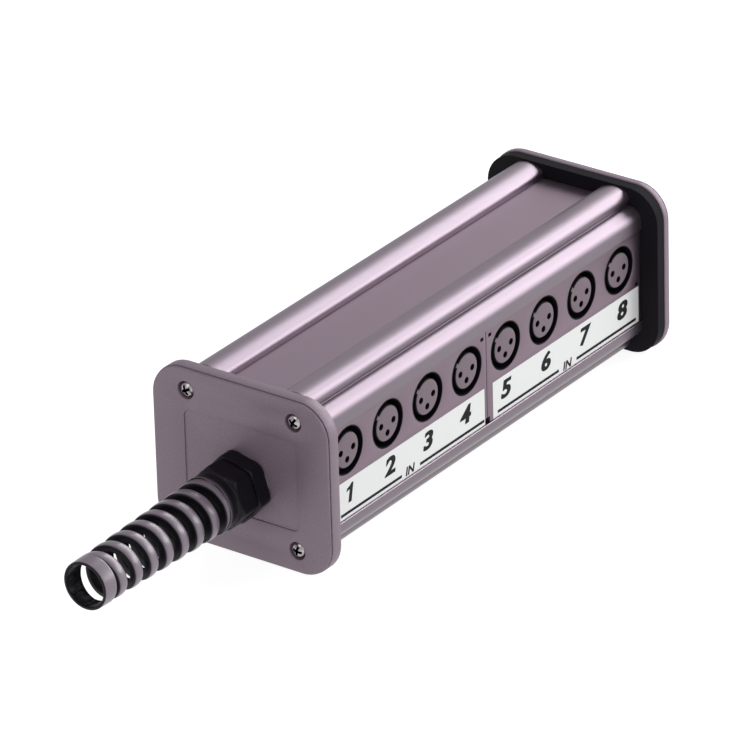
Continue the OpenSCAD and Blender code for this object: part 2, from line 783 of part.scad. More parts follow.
spigot_end = hex_t + spigot_l;
cup_floor = 2.5;
claw_r = cup_r - inner_gap;
claw_in = claw_r - claw_t;
seal_r = claw_in - inner_gap;
seal_in = seal_r - seal_t;
ring_seal_r = 12;

module gland_body() {
    color([0.05, 0.05, 0.06])
        on_gland()
            difference() {
                union() {
                    hex_prism(hex_af, hex_t);
                    translate([0, 0, gland_back]) cylinder(r = thread_r, h = spigot_end - gland_back);
                }
                translate([0, 0, gland_back - 1]) cylinder(r = body_bore_r, h = spigot_end - gland_back + 2);
                translate([0, 0, cup_floor]) cylinder(r = cup_r, h = spigot_end);
                tube(-1, ring_seal_t, ring_seal_r + inner_gap, thread_r + fit_gap);
            }
}

module gland_seal_ring() {
    color([0.03, 0.03, 0.03])
        on_gland() tube(0, ring_seal_t - inner_gap, ring_seal_r, thread_r + piece_gap);
}

module gland_lock_nut() {
    color([0.72, 0.70, 0.68])
        on_gland()
            translate([0, 0, -plate_t - lock_t])
                difference() {
                    hex_prism(hex_af, lock_t);
                    translate([0, 0, -1]) cylinder(r = thread_r + thread_gap, h = lock_t + 2);
                }
}

claw_end = spigot_end;
module gland_claw() {
    collar = 2;
    color([0.10, 0.10, 0.11])
        on_gland()
            difference() {
                tube(cup_floor + inner_gap, claw_end, claw_r, claw_in);
                for (i = [0 : claw_slots - 1])
                    rotate([0, 0, i * 360 / claw_slots])
                        translate([claw_in - 1, -claw_slot_w / 2, cup_floor + collar])
                            cube([claw_t + 2, claw_slot_w, claw_end]);
            }
}

module gland_cable_seal() {
    color([0.03, 0.03, 0.03])
        on_gland() tube(cup_floor + inner_gap, claw_end - 1, seal_r, seal_in);
}

thrust_z = spigot_end + inner_gap;
thrust_end = thrust_z + thrust_t;
nut_floor = thrust_end + inner_gap;

module gland_thrust_ring() {
    color([0.75, 0.75, 0.73])
        on_gland() tube(thrust_z, thrust_end, thread_r - piece_gap, way_r - inner_gap);
}

// spiral nut: dome hexagon, collar, one unbroken rib wound by formula, and the tip ring
nut_z = hex_t + 0.2;
collar_z = hex_t + dome_l;
spiral_z = collar_z + collar_l;
tip_z = spiral_z + spiral_l;
bury = rib_w / 2 + 0.25;
rib_z0 = spiral_z - bury;
rib_z1 = tip_z + bury;
rib_turns = (rib_z1 - rib_z0) / spiral_pitch;
rib_inset = 0.12;
rib_from = spiral_z - step_w + rib_inset;
rib_to = tip_z + bury / 2;
rib_steps = 32;
rib_count = ceil(rib_turns * rib_steps);
function along(z) = (min(max(z, spiral_z), tip_z) - spiral_z) / spiral_l;
function rib_in(z) = way_r + (mouth_r - way_r) * along(z) + rib_inset;
function rib_out(z) = spiral_r0 + (spiral_r1 - spiral_r0) * along(z) - rib_inset;
function rib_point(z, a, k) =
    let (
        side = k == 1 || k == 2 || k == 3 ? 1 : -1,
        edge = k == 3 || k == 4,
        r = k < 2 ? rib_in(z) : edge ? rib_out(z) : rib_out(z) - rib_round,
        dz = side * (edge ? rib_w / 2 - rib_round : rib_w / 2)
    )
    [r * cos(a), r * sin(a), min(max(z + dz, rib_from), rib_to)];
rib_points = [
    for (i = [0 : rib_count])
        let (
            t = i / rib_count,
            z = rib_z0 + (rib_z1 - rib_z0) * t,
            a = spiral_phase + 360 * rib_turns * t
        )
        for (k = [0 : 5]) rib_point(z, a, k)
];
rib_faces = concat(
    [[for (k = [0 : 5]) k]],
    [
        for (i = [0 : rib_count - 1])
            for (k = [0 : 5])
                let (k2 = (k + 1) % 6, p = 6 * i, q = 6 * i + 6)
                each [[p + k, q + k, q + k2], [p + k, q + k2, p + k2]]
    ],
    [[for (k = [5 : -1 : 0]) 6 * rib_count + k]]
);
rib_gap = spiral_pitch - rib_w;
echo(least_gap_between_turns = rib_gap);

module spiral_nut() {
    color([0.07, 0.07, 0.08])
        on_gland()
            union() {
                difference() {
                    union() {
                        translate([0, 0, nut_z]) hex_prism(dome_af, collar_z - nut_z);
                        translate([0, 0, collar_z - 1])
                            cylinder(r = dome_af / 2 - neck_in, h = collar_l - step_w + 1 + eps);
                        translate([0, 0, spiral_z - step_w])
                            cylinder(r1 = collar_r, r2 = spiral_r0, h = step_w);
                    }
                    translate([0, 0, nut_z - 1]) cylinder(r = thread_r + thread_gap, h = nut_floor - nut_z + 1);
                    translate([0, 0, nut_z - 1]) cylinder(r = way_r, h = spiral_z);
                }
                difference() {
                    translate([0, 0, tip_z]) cylinder(r1 = spiral_r1, r2 = tip_r, h = tip_l);
                    translate([0, 0, tip_z - 1]) cylinder(r = mouth_r, h = tip_l + 2);
                }
                polyhedron(points = rib_points, faces = rib_faces, convexity = 12);
            }
}

near_end_plate();
far_end_plate();
near_gasket();
far_gasket();
front_top_post();
front_bottom_post();
back_top_post();
back_bottom_post();
top_panel();
bottom_panel();
back_panel();
near_module_plate();
far_module_plate();
near_number_strip();
far_number_strip();
near_plate_screws();
far_plate_screws();
socket_shell_1();
socket_shell_2();
socket_shell_3();
socket_shell_4();
socket_shell_5();
socket_shell_6();
socket_shell_7();
socket_shell_8();
socket_insert_1();
socket_insert_2();
socket_insert_3();
socket_insert_4();
socket_insert_5();
socket_insert_6();
socket_insert_7();
socket_insert_8();
contacts_1();
contacts_2();
contacts_3();
contacts_4();
contacts_5();
contacts_6();
contacts_7();
contacts_8();
near_board();
far_board();
near_board_screws();
far_board_screws();
gland_body();
gland_seal_ring();
gland_lock_nut();
gland_claw();
gland_cable_seal();
gland_thrust_ring();
spiral_nut();
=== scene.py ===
import json
import math

import bmesh
import bpy
from mathutils import Matrix, Quaternion, Vector


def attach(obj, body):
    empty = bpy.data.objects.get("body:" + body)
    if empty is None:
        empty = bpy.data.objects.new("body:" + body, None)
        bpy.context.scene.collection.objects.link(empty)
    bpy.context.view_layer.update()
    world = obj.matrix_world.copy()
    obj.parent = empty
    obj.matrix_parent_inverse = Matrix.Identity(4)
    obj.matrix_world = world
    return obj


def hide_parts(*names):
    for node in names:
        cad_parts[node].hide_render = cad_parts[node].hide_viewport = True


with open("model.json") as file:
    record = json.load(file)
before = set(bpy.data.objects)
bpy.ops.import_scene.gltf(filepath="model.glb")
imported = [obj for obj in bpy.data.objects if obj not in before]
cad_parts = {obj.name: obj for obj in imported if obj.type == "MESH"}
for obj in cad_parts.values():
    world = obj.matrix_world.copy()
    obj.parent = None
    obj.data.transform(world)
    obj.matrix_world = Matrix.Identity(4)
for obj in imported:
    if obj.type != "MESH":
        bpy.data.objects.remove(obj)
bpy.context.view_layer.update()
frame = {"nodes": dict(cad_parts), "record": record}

NODES = frame["nodes"]

# Sizes are in mm, in the part's frame, and MM turns them into metres.
MM = 0.001
X_NEAR = -66.35             # outer face of the near plate
X_FAR = 162.95              # outer face of the far plate
Z_MID = 36.3                # middle of the box
Z_GLAND = 31.0              # axis of the gland
HALF_W, HALF_H = 33.2, 35.2  # reach of the corner posts from the box's middle
EDGE, LOW_EDGE = 19.2, 20.8  # where the side lobes of the top and the bottom posts end, from the box's middle
FRONT = 32.4                # face of the module plates
TOP = 30.0                  # face of the top panel, from the box's middle
POST_X = (-57.95, 154.55)
PLATE_HALF_W, PLATE_HALF_H, PLATE_R = 41.05, 36.3, 14
SCREW_Y, SCREW_Z = 25.0, 27.0


# ---------------------------------------------------------------- materials
def srgb(r, g, b):
    def lin(c):
        c /= 255.0
        return c / 12.92 if c <= 0.04045 else ((c + 0.055) / 1.055) ** 2.4
    return (lin(r), lin(g), lin(b))


def principled(mat):
    return mat.node_tree.nodes["Principled BSDF"]


def shader(name, color, metallic=0.0, rough=0.5, **extra):
    """A plain material. The names of extra sockets have _ for each space."""
    mat = bpy.data.materials.new(name)
    mat.use_nodes = True
    inputs = principled(mat).inputs
    inputs["Base Color"].default_value = (*color, 1.0)
    inputs["Metallic"].default_value = metallic
    inputs["Roughness"].default_value = rough
    for key, value in extra.items():
        inputs[key.replace("_", " ")].default_value = value
    return mat


def add_node(mat, kind, inputs, **settings):
    """Adds a node. Each of the inputs is a plain value, or the output socket that feeds it."""
    node = mat.node_tree.nodes.new("ShaderNode" + kind)
    for key, value in settings.items():
        setattr(node, key, value)
    for key, value in inputs.items():
        if isinstance(value, bpy.types.NodeSocket):
            mat.node_tree.links.new(value, node.inputs[key])
        else:
            node.inputs[key].default_value = value
    return node


def feed(mat, output, socket):
    """Links an output to a socket of the material's shader."""
    mat.node_tree.links.new(output, principled(mat).inputs[socket])


def coords(mat, kind="Object"):
    return add_node(mat, "TexCoord", {}).outputs[kind]


def component(mat, vector, axis):
    return add_node(mat, "SeparateXYZ", {"Vector": vector}).outputs[axis]


def math_node(mat, operation, *values):
    return add_node(mat, "Math", dict(enumerate(values)), operation=operation).outputs["Value"]


def vector_node(mat, operation, *values):
    return add_node(mat, "VectorMath", dict(enumerate(values)), operation=operation)


def ramp(mat, value, source, target):
    """Maps a value from one range to another, and holds it at the ends."""
    return add_node(mat, "MapRange", {"Value": value, "From Min": source[0], "From Max": source[1],
                                      "To Min": target[0], "To Max": target[1]}).outputs["Result"]


def noise(mat, vector, scale, detail):
    return add_node(mat, "TexNoise", {"Vector": vector, "Scale": scale, "Detail": detail}).outputs["Fac"]


def scale_color(mat, factor):
    """Multiplies the base colour by a factor."""
    color = principled(mat).inputs["Base Color"].default_value[:3]
    scaled = add_node(mat, "VectorMath", {0: color, "Scale": factor}, operation="SCALE")
    feed(mat, scaled.outputs["Vector"], "Base Color")


def speckle(mat, scale, span):
    """Varies the base colour by fine noise, as a satin anodised skin does."""
    scale_color(mat, ramp(mat, noise(mat, coords(mat), scale, 3.0), (0.3, 0.7), (1.0 - span, 1.0 + span)))
    return mat


def dull(mat, level):
    """Turns down the mirror part of a dark surface."""
    principled(mat).inputs["Specular IOR Level"].default_value = level
    return mat


def grain(mat, scale, stretch, bump, rough_span):
    """Fine surface texture: noise in object space, stretched along the axes, shapes bump and roughness."""
    place = add_node(mat, "Mapping", {"Vector": coords(mat), "Scale": stretch})
    height = noise(mat, place.outputs["Vector"], scale, 6.0)
    bumps = add_node(mat, "Bump", {"Strength": bump, "Distance": 0.05 * MM, "Height": height})
    feed(mat, bumps.outputs["Normal"], "Normal")
    base = principled(mat).inputs["Roughness"].default_value
    feed(mat, ramp(mat, height, (0.0, 1.0), (base - rough_span, base + rough_span)), "Roughness")
    return mat


def shade_below(mat, low, z0, z1):
    """Darkens the colour of faces that look sideways or down, by the height of their normal."""
    normal = add_node(mat, "NewGeometry", {}).outputs["Normal"]
    scale_color(mat, ramp(mat, component(mat, normal, "Z"), (z0, z1), (low, 1.0)))
    return mat


def dark_sides(mat):
    """Painted shade: blackens the walls and the floor of a screw's cross pit, and the foot of its crown, where shade
    falls, and turns down their mirror part.
    """
    depth = 1.0  # mm under the outer faces of the plates
    middle, reach = (X_NEAR + X_FAR) / 2 * MM, ((X_FAR - X_NEAR) / 2 - depth) * MM
    turned = math_node(mat, "ABSOLUTE", component(mat, coords(mat, "Normal"), "X"))
    away = math_node(mat, "SUBTRACT", component(mat, coords(mat), "X"), middle)
    outer = math_node(mat, "GREATER_THAN", math_node(mat, "ABSOLUTE", away), reach)
    lit = math_node(mat, "MULTIPLY", ramp(mat, turned, (0.4, 0.6), (0.04, 1.0)), outer)
    scale_color(mat, lit)
    feed(mat, lit, "Specular IOR Level")
    return mat


def black_behind(mat):
    """Turns everything deeper than the face of a socket insert black."""
    scale_color(mat, math_node(mat, "LESS_THAN", component(mat, coords(mat), "Y"), (0.25 - FRONT) * MM))
    return mat


def rib_sheen(mat, lit):
    """Painted sheen: lilac-grey on the outward faces of the spiral, from its collar to the tip, with their mirror
    part turned up; the sides and the hexagons by the plate keep the black moulding, with a weak mirror part as
    painted shade.
    """
    # the painted sheen starts past the hexagons, which lie in the plate's shade, and is full 4 mm further out
    start, full = -86.2 * MM, -90.2 * MM
    spot = coords(mat)
    off_axis = vector_node(mat, "SUBTRACT", spot, (0, 0, Z_GLAND * MM)).outputs["Vector"]
    flat = vector_node(mat, "MULTIPLY", off_axis, (0, 1, 1)).outputs["Vector"]
    unit = vector_node(mat, "NORMALIZE", flat).outputs["Vector"]
    outward = vector_node(mat, "DOT_PRODUCT", unit, coords(mat, "Normal")).outputs["Value"]
    sheen = math_node(mat, "MULTIPLY", ramp(mat, outward, (0.78, 1.0), (0.0, 1.0)),
                      ramp(mat, component(mat, spot, "X"), (start, full), (0.0, 1.0)))
    base = principled(mat).inputs["Base Color"].default_value[:]
    mix = add_node(mat, "Mix", {"Factor": sheen, "A": base, "B": (*lit, 1.0)}, data_type="RGBA")
    feed(mat, mix.outputs["Result"], "Base Color")
    feed(mat, ramp(mat, sheen, (0.0, 1.0), (0.16, 1.0)), "Specular IOR Level")
    return mat


EVEN, DRAWN = (1, 1, 1), (0.03, 1, 1)  # grain that is the same all ways, or drawn out along the extrusions
MATS = {
    "end_plate": speckle(grain(shader("end_plate", srgb(118, 104, 115), 0.35, 0.5), 1700, EVEN, 0.9, 0.1),
                         1900, 0.14),
    "gasket": dull(shader("gasket", (0.006, 0.005, 0.007), 0.0, 0.7), 0.1),
    "post": shade_below(grain(shader("post", srgb(131, 118, 129), 1.0, 0.45, Coat_Weight=0.55,
                                     Coat_Roughness=0.36), 900, DRAWN, 0.12, 0.04), 0.7, 0.12, 0.32),
    "panel": grain(shader("panel", srgb(140, 125, 136), 1.0, 0.46), 900, DRAWN, 0.12, 0.05),
    "module_plate": grain(shader("module_plate", srgb(123, 108, 118), 1.0, 0.46), 1200, EVEN, 0.12, 0.05),
    "number_strip": shader("number_strip", srgb(199, 200, 199), 0.0, 0.55),
    "ink": dull(shader("ink", (0.008, 0.008, 0.009), 0.0, 0.6), 0.1),
    "screw": dark_sides(shader("screw", srgb(176, 169, 172), 1.0, 0.24)),
    "socket_shell": dull(shader("socket_shell", (0.004, 0.003, 0.005), 0.0, 0.45), 0.12),
    "socket_insert": black_behind(dull(shader("socket_insert", srgb(106, 93, 101), 0.0, 0.6), 0.2)),
    "contact": shader("contact", srgb(215, 210, 200), 1.0, 0.3),
    "board": shader("board", (0.02, 0.12, 0.05), 0.0, 0.3),
    "seal": shader("seal", (0.01, 0.01, 0.01), 0.0, 0.6),
    "lock_nut": shader("lock_nut", srgb(200, 195, 180), 1.0, 0.3),
    "thrust_ring": shader("thrust_ring", srgb(200, 200, 195), 0.0, 0.5),
    "claw": shader("claw", (0.02, 0.02, 0.022), 0.0, 0.45),
    "gland": rib_sheen(grain(shader("gland", srgb(14, 11, 17), 0.0, 0.33), 1500, EVEN, 0.3, 0.04),
                       (0.12, 0.09, 0.12)),
}

SLOT_OF = {s["node"]: s["material_slot"] for s in frame["record"]["subparts"]}
for node_name, obj in NODES.items():
    mats = obj.data.materials
    if len(mats) == 0:
        mats.append(None)
    for i in range(len(mats)):
        mats[i] = MATS[SLOT_OF[node_name]]


# ---------------------------------------------------------------- mesh helpers
def loop_verts(bm, points):
    return [bm.verts.new(Vector(p) * MM) for p in points]


def band(bm, a, b):
    """Quads between two closed loops with the same number of points."""
    n = len(a)
    for i in range(n):
        j = (i + 1) % n
        bm.faces.new((a[i], a[j], b[j], b[i]))


def cap(bm, loops):
    """Fills the region between closed loops, the inner ones as holes."""
    edges = []
    for loop in loops:
        for i, v in enumerate(loop):
            w = loop[(i + 1) % len(loop)]
            edges.append(bm.edges.get((v, w)) or bm.edges.new((v, w)))
    bmesh.ops.triangle_fill(bm, use_beauty=True, use_dissolve=False, edges=edges)


def loft(bm, rings, closed=False):
    """Bands through a row of rings, and back to the first one if it is closed."""
    made = [loop_verts(bm, r) for r in rings]
    for a, b in zip(made, made[1:]):
        band(bm, a, b)
    if closed:
        band(bm, made[-1], made[0])
    return made


def to_mesh(name, bm):
    bmesh.ops.recalc_face_normals(bm, faces=bm.faces[:])
    mesh = bpy.data.meshes.new(name)
    bm.to_mesh(mesh)
    bm.free()
    return mesh


def to_object(name, mesh):
    obj = bpy.data.objects.new(name, mesh)
    bpy.context.scene.collection.objects.link(obj)
    return obj


def finish_piece(name, bm, mat, body, stands_for, angle):
    """Makes the piece that a CAD node is shown as, smooth up to an angle, in that node's slot and on its body."""
    mesh = to_mesh(name, bm)
    mesh.polygons.foreach_set("use_smooth", [True] * len(mesh.polygons))
    mesh.set_sharp_from_angle(angle=math.radians(angle))
    mesh.materials.append(MATS[mat])
    obj = to_object(name, mesh)
    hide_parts(*stands_for)
    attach(obj, body)


def arc(cu, cv, r, a0, a1, step=4.0):
    n = max(2, round(abs(a1 - a0) / step))
    return [(cu + r * math.cos(math.radians(a0 + (a1 - a0) * i / n)),
             cv + r * math.sin(math.radians(a0 + (a1 - a0) * i / n))) for i in range(n + 1)]


def circle(cu, cv, r, n=48):
    return [(cu + r * math.cos(2 * math.pi * i / n), cv + r * math.sin(2 * math.pi * i / n)) for i in range(n)]


def rounded_rect(cu, cv, hw, hh, r, n):
    pts = []
    for su, sv, a0 in ((1, 1, 0), (-1, 1, 90), (-1, -1, 180), (1, -1, 270)):
        for i in range(n + 1):
            a = math.radians(a0 + 90 * i / n)
            pts.append((cu + su * (hw - r) + r * math.cos(a), cv + sv * (hh - r) + r * math.sin(a)))
    return pts


def at_x(points, x):
    return [(x, p[0], p[1]) for p in points]


def at_y(points, y):
    return [(p[0], y, p[1]) for p in points]


# ---------------------------------------------------------------- corner posts and end plates
def outer_line(edge):
    """Outside of a corner post, from the top lobe's inner edge round to the side lobe's edge."""
    crown = (HALF_W - 12.2, HALF_H - 13.5, 13.5)
    shoulder_r, valley_r, side_r, inner_r, edge_r = 3.95, 0.15, 5.4, 2.4, 0.4
    tilt, lean = 13.5, 4.0
    lean_cos, lean_sin, lean_tan = (f(math.radians(lean)) for f in (math.cos, math.sin, math.tan))
    shoulder = (crown[0] + (crown[2] - shoulder_r) * math.sin(math.radians(tilt)),
                crown[1] + (crown[2] - shoulder_r) * math.cos(math.radians(tilt)))
    side = (HALF_W - 0.4 - side_r, HALF_H - 12.1)
    # the top lobe's inner edge, rounded into the crown
    iu = 13.5 + inner_r
    iv = crown[1] + math.sqrt((crown[2] - inner_r) ** 2 - (iu - crown[0]) ** 2)
    ia = math.degrees(math.atan2(iv - crown[1], iu - crown[0]))
    # the valley's arc touches the shoulder and the side lobe from outside
    d = math.hypot(side[0] - shoulder[0], side[1] - shoulder[1])
    eu, ev = (side[0] - shoulder[0]) / d, (side[1] - shoulder[1]) / d
    ahead = ((shoulder_r + valley_r) ** 2 - (side_r + valley_r) ** 2 + d * d) / (2 * d)
    off = math.sqrt((shoulder_r + valley_r) ** 2 - ahead ** 2)
    vu, vv = shoulder[0] + ahead * eu - off * ev, shoulder[1] + ahead * ev + off * eu
    va0 = math.degrees(math.atan2(vv - shoulder[1], vu - shoulder[0]))
    va1 = math.degrees(math.atan2(vv - side[1], vu - side[0]))
    low = side[0] + side_r * lean_cos + (side[1] + side_r * lean_sin - edge) * lean_tan
    line = arc(iu, iv, inner_r, 180, ia, 9)
    line += arc(*crown, ia, 90 - tilt, 3)[1:]
    line += arc(*shoulder, shoulder_r, 90 - tilt, va0, 6)[1:]
    line += arc(vu, vv, valley_r, va0 + 180, va1 + 180, 8)[1:]
    line += arc(*side, side_r, va1, lean, 5)[1:]
    line += arc(low - edge_r, edge + edge_r, edge_r, 0, -90, 15)
    return line


def post_loops(edge):
    """Section of a corner post: its outline with the slots for both panels, and its two chambers and bore."""
    gap, depth, wall = 0.15, 2.0, 1.6
    back = FRONT - 2.0
    under = TOP - 2.2
    inner = back - gap - wall
    line = outer_line(edge)
    line += [(FRONT + gap, edge), (FRONT + gap, edge + depth), (back - gap, edge + depth), (back - gap, edge),
             (inner, edge), (inner, HALF_H - 13.8), (inner - 1.6, HALF_H - 12.2), (21.7, HALF_H - 12.2),
             (20.1, under - gap - wall), (13.5, under - gap - wall), (13.5, under - gap), (15.5, under - gap),
             (15.5, TOP + gap), (13.5, TOP + gap)]
    top_hole = [(16.9, 27.45), (21.8, 27.45), (21.8, 33.3), (17.5, 32.9), (16.9, 32.2)]
    side_hole = [(28.85, edge + 3.4), (31.2, edge + 3.4), (31.2, 25.6), (30.4, 27.0), (28.85, 27.0)]
    bore = circle(SCREW_Y, SCREW_Z, 1.8, 24)
    return [line, top_hole, side_hole, bore]


def build_posts():
    for name, su, sv in (("front_top", -1, 1), ("front_bottom", -1, -1), ("back_top", 1, 1), ("back_bottom", 1, -1)):
        bm = bmesh.new()
        ends = ([], [])
        for loop in post_loops(EDGE if sv > 0 else LOW_EDGE):
            pts = [(su * u, Z_MID + sv * v) for u, v in loop]
            for end, ring in zip(ends, loft(bm, [at_x(pts, x) for x in POST_X])):
                end.append(ring)
        for loops in ends:
            cap(bm, loops)
        finish_piece("post_" + name, bm, "post", "box", (name + "_post",), 28)


def plate_edge(t_plate, near):
    """Outer edge of an end plate: depth from its face, and how far the outline is set in."""
    if near:
        face = ((0.0, 1.05), (0.03, 0.75), (0.1, 0.5), (0.25, 0.32), (0.42, 0.25), (0.6, 0.25))
    else:
        face = ((0.0, 2.0), (0.04, 1.6), (0.13, 1.2), (0.27, 0.85), (0.44, 0.55), (0.6, 0.38))
    groove = ((0.6, 0.8), (1.2, 0.8), (1.2, 0.3), (1.24, 0.14), (1.32, 0.05), (1.45, 0.0))
    rear = ((0.5, 0.0), (0.3, 0.05), (0.12, 0.16), (0.03, 0.32), (0.0, 0.5))
    return face + groove + tuple((t_plate - t, d) for t, d in rear)


def build_plate(name, x0, direction, t_plate, near):
    """Rounded end plate with four screw recesses, and on the near one the pocket and the gland's hole."""
    bm = bmesh.new()

    def put(points, t):
        return at_x(points, x0 + direction * t)
    rings = loft(bm, [put(rounded_rect(0, Z_MID, PLATE_HALF_W - d, PLATE_HALF_H - d, PLATE_R - d, 20), t)
                      for t, d in plate_edge(t_plate, near)])
    front, back = [rings[0]], [rings[-1]]
    for sy in (-1, 1):
        for sz in (-1, 1):
            recess = loft(bm, [put(circle(sy * SCREW_Y, Z_MID + sz * SCREW_Z, r), t) for r, t in (
                (3.9, 0.0), (3.8, 0.05), (3.75, 0.15), (3.75, 1.8), (2.05, 1.8), (2.05, t_plate))])
            front.append(recess[0])
            back.append(recess[-1])
    if near:
        # shallow pocket with a small fillet at its floor, and the seat that carries the gland's hexagon
        half_w, half_h, corner, deep, seat_r, hole_r = 26.3, 19.0, 3, 0.5, 12.3, 10.3
        pocket = loft(bm, [put(rounded_rect(0, Z_MID, half_w - d, half_h - d, corner - d, 8), t)
                           for d, t in ((-0.1, 0.0), (-0.02, 0.04), (0.0, 0.1), (0.0, 0.42), (0.03, 0.48),
                                        (0.1, deep))])
        seat = loft(bm, [put(circle(0, Z_GLAND, seat_r, 64), t) for t in (deep, 0.0)])
        hole = loft(bm, [put(circle(0, Z_GLAND, hole_r, 64), t) for t in (0.0, t_plate)])
        front.append(pocket[0])
        cap(bm, [pocket[-1], seat[0]])
        cap(bm, [seat[-1], hole[0]])
        back.append(hole[-1])
    cap(bm, front)
    cap(bm, back)
    finish_piece("plate_" + name, bm, "end_plate", "box", (name + "_end_plate",), 40)


# ---------------------------------------------------------------- screws
def build_pan_screws(name, x0, direction):
    """Four pan heads with a ball-shaped crown and a four-armed cross pit, each turned its own way."""
    head_r, head_h, seat, shank_r, shank, crown_r = 3.3, 2.3, 1.8, 1.75, 16.6, 3.8
    top = seat - head_h
    bm = bmesh.new()
    for sy in (-1, 1):
        for sz in (-1, 1):
            cy, cz = sy * SCREW_Y, Z_MID + sz * SCREW_Z
            turn = math.radians(38 + 17 * sy + 9 * sz)
            c, k = math.cos(turn), math.sin(turn)

            def put(points, t):
                return [(x0 + direction * t, cy + u * c - v * k, cz + u * k + v * c) for u, v in points]

            def on_crown(points, t):
                """Points laid on the crown, t below it."""
                return [put([(u, v)], top + t + crown_r - math.sqrt(crown_r ** 2 - u * u - v * v))[0]
                        for u, v in points]

            def cross(reach, half):
                pts = []
                for u, v in ((1, 0), (0, 1), (-1, 0), (0, -1)):
                    pts += [(u * reach + v * half, v * reach - u * half),
                            (u * reach - v * half, v * reach + u * half), ((u - v) * half, (u + v) * half)]
                return pts
            crown = [on_crown(circle(0, 0, r, 64), 0.0) for r in (2.4, 2.6, 2.8, 2.95, 3.1, 3.2, head_r)]
            body = [put(circle(0, 0, r, 64), t) for t, r in (
                (seat - 0.2, head_r), (seat, head_r), (seat, shank_r), (seat + shank - 0.5, shank_r),
                (seat + shank, shank_r - 0.5))]
            made = loft(bm, crown + body)
            pit = loft(bm, [on_crown(cross(reach, half), t) for reach, half, t in (
                (2.15, 0.62, 0.0), (2.08, 0.56, 0.06), (1.85, 0.46, 1.5), (0.6, 0.3, 2.1))])
            cap(bm, [made[-1]])
            cap(bm, [pit[-1]])
            cap(bm, [made[0], pit[0]])
    finish_piece("screws_" + name, bm, "screw", "box", (name + "_plate_screws",), 38)


# ---------------------------------------------------------------- front: module plates and strips
PITCH = 26.0
X_MID = 48.3
Z_ROW = Z_MID + 7.5
SIDES = ("near", "far")
MODULE_L = 105.8
MODULE_X = (X_MID - 0.15 - MODULE_L, X_MID + 0.15)
STRIP_IN = 3.8
STRIP_L = MODULE_L - STRIP_IN - 1.4
STRIP_Z = (Z_MID - 20.5, Z_MID - 4.9)


def socket_x(i):
    return X_MID + (i - 4.5) * PITCH


def build_module(m):
    """Module plate with bevelled edges and socket holes, a pocket for the strip, notches and board pillars."""
    bm = bmesh.new()
    x0, x1 = MODULE_X[m], MODULE_X[m] + MODULE_L
    z0, z1 = Z_MID - 22.5, Z_MID + 20.9
    seam, outer, away = (x1, x0, -1) if m == 0 else (x0, x1, 1)
    notch_w, notch_h = (1.1, 1.6)[m], 4.3
    notch_in, strip_gap = 2.5, 0.1

    def frame_loop(d, y):
        """Outline of the plate with the corner notch beside the seam, inset by d."""
        notch_x, notch_z = seam + away * (notch_w + d), z0 + notch_h + d
        return at_y([(outer - away * d, z0 + d), (outer - away * d, z1 - d), (seam + away * d, z1 - d),
                     (seam + away * d, notch_z), (notch_x, notch_z), (notch_x, z0 + d)], y - FRONT)
    rings = loft(bm, [frame_loop(d, y) for d, y in ((0.14, 0.0), (0.05, 0.04), (0, 0.14), (0, 2.0))])
    front, back = [rings[0]], [rings[-1]]
    for i in range(4 * m + 1, 4 * m + 5):
        hole = loft(bm, [at_y(circle(socket_x(i), Z_ROW, r, 72), y - FRONT)
                         for r, y in ((10.12, 0.0), (10.0, 0.04), (9.95, 0.14), (9.95, 2.0))])
        front.append(hole[0])
        back.append(hole[-1])
    cx, cz = x0 + STRIP_IN + STRIP_L / 2, sum(STRIP_Z) / 2
    hw, hh = STRIP_L / 2 + strip_gap, (STRIP_Z[1] - STRIP_Z[0]) / 2 + strip_gap
    pocket = loft(bm, [at_y(rounded_rect(cx, cz, hw + d, hh + d, 0.3, 3), y - FRONT)
                       for d, y in ((0.06, 0.0), (0.0, 0.06), (0.0, 0.6))])
    front.append(pocket[0])
    cap(bm, [pocket[-1]])
    for nx, nz in ((seam + away * notch_in, Z_MID + 16.55), (outer - away * notch_in, Z_MID - 3.55)):
        hole = loft(bm, [at_y(rounded_rect(nx, nz, 1.0, 0.75, 0.15, 3), y - FRONT) for y in (0.0, 2.0)])
        front.append(hole[0])
        back.append(hole[-1])
    cap(bm, front)
    cap(bm, back)
    for i in (4 * m + 1.5, 4 * m + 3.5):
        for z in (Z_MID - 16.0, Z_ROW + 7.2):
            pillar = loft(bm, [at_y(circle(socket_x(i), z, r, 24), y - FRONT) for r, y in (
                (2.7, 1.95), (2.7, 17.95), (2.35, 18.3), (1.35, 18.3), (1.25, 18.2), (1.25, 11.3))])
            cap(bm, [pillar[0]])
            cap(bm, [pillar[-1]])
    finish_piece("module_" + SIDES[m], bm, "module_plate", "box", (SIDES[m] + "_module_plate",), 32)


def build_strip(m):
    bm = bmesh.new()
    cx, cz = MODULE_X[m] + STRIP_IN + STRIP_L / 2, sum(STRIP_Z) / 2
    hw, hh = STRIP_L / 2, (STRIP_Z[1] - STRIP_Z[0]) / 2
    rings = loft(bm, [at_y(rounded_rect(cx, cz, hw - d, hh - d, 0.3, 4), y - FRONT)
                      for d, y in ((0.1, 0.0), (0.0, 0.08), (0.0, 0.6))])
    cap(bm, [rings[0]])
    cap(bm, [rings[-1]])
    finish_piece("strip_" + SIDES[m], bm, "number_strip", "box", (SIDES[m] + "_number_strip",), 30)


# ---------------------------------------------------------------- printing on the strips
DIGIT_X = (-42.2, -15.5, 9.2, 34.0, 61.3, 88.6, 115.4, 141.6)
LEGENDS = ((-3.1, -18.0), (103.0, -18.3))
RULES = ((-48.1, -8.6), (3.3, 46.2), (55.2, 97.0), (109.2, 150.9))
RULE_Z, RULE_HALF = Z_MID - 18.6, 0.62
PRINT_T = 0.00001   # metres: how far the ink stands off, and how thick it is
COPY_T = 0.000002   # metres between the copies that make the strokes bold


def add_ink(name, mesh):
    mesh.materials.clear()
    mesh.materials.append(MATS["ink"])
    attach(to_object(name, mesh), "box")


